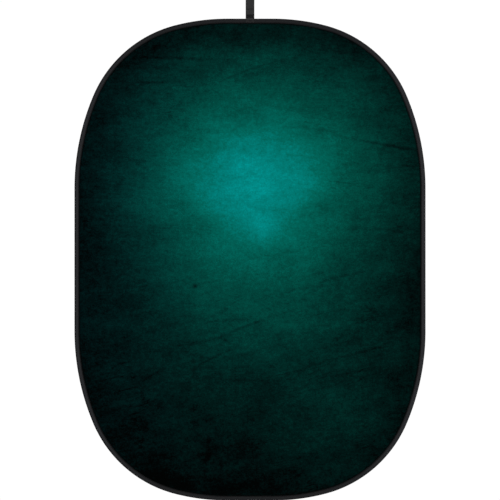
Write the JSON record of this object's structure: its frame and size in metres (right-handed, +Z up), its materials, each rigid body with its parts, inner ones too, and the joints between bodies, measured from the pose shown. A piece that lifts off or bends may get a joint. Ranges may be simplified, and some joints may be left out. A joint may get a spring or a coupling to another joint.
{
  "type": "collapsible backdrop panel",
  "caption": "Tall studio backdrop: a mottled printed cloth held taut by a folding sprung hoop in a dark sewn binding, hung from a crossbar by a webbing loop.",
  "frame": {"origin": "centre of the crossbar in the hanging loop", "axes": "+Z up, along the panel's height; the printed face looks along -Y; +X to the right seen from the printed face"},
  "size_m": [1.53, 0.0382, 2.2699],
  "materials": {
    "printed_cloth": "matte mottled print",
    "rear_cloth": "matte",
    "binding_tape": "matte",
    "webbing": "matte",
    "thread": "satin",
    "spring_steel": "satin",
    "ferrule": "satin",
    "wrap_tape": "satin"
  },
  "bodies": {
    "hanging_loop": {"loop_webbing": "webbing"},
    "strap_neck": {"neck_ply_front": "webbing", "neck_ply_rear": "webbing", "neck_bar_tack_upper": "thread", "neck_bar_tack_lower": "thread"},
    "upper_panel": {"tail_front": "webbing", "tail_rear": "webbing", "tail_box_stitch_front": "thread", "tail_box_stitch_rear": "thread", "binding_upper": "binding_tape", "binding_seam_front_upper": "thread", "binding_seam_rear_upper": "thread", "cloth_front_upper": "printed_cloth", "cloth_rear_upper": "rear_cloth", "hoop_upper": "spring_steel"},
    "lower_panel": {"binding_lower": "binding_tape", "binding_lap": "binding_tape", "binding_seam_front_lower": "thread", "binding_seam_rear_lower": "thread", "cloth_front_lower": "printed_cloth", "cloth_rear_lower": "rear_cloth", "hoop_lower_left": "spring_steel", "hoop_lower_right": "spring_steel", "hoop_ferrule": "ferrule", "ferrule_wrap": "wrap_tape"}
  },
  "joints": [
    {"name": "strap_twist", "type": "hinge", "parent": "hanging_loop", "child": "strap_neck", "pos_m": [0, 0, -0.105], "axis": [0, 0, 1], "range_deg": [-90, 90], "stiffness_Nm_per_rad": 0.1},
    {"name": "panel_swing", "type": "hinge", "parent": "strap_neck", "child": "upper_panel", "pos_m": [0, 0, -0.136], "axis": [1, 0, 0], "range_deg": [-130, 130]},
    {"name": "half_fold", "type": "hinge", "parent": "upper_panel", "child": "lower_panel", "pos_m": [0, -0.0085, -1.2], "axis": [-1, 0, 0], "range_deg": [0, 165], "stiffness_Nm_per_rad": 5}
  ]
}
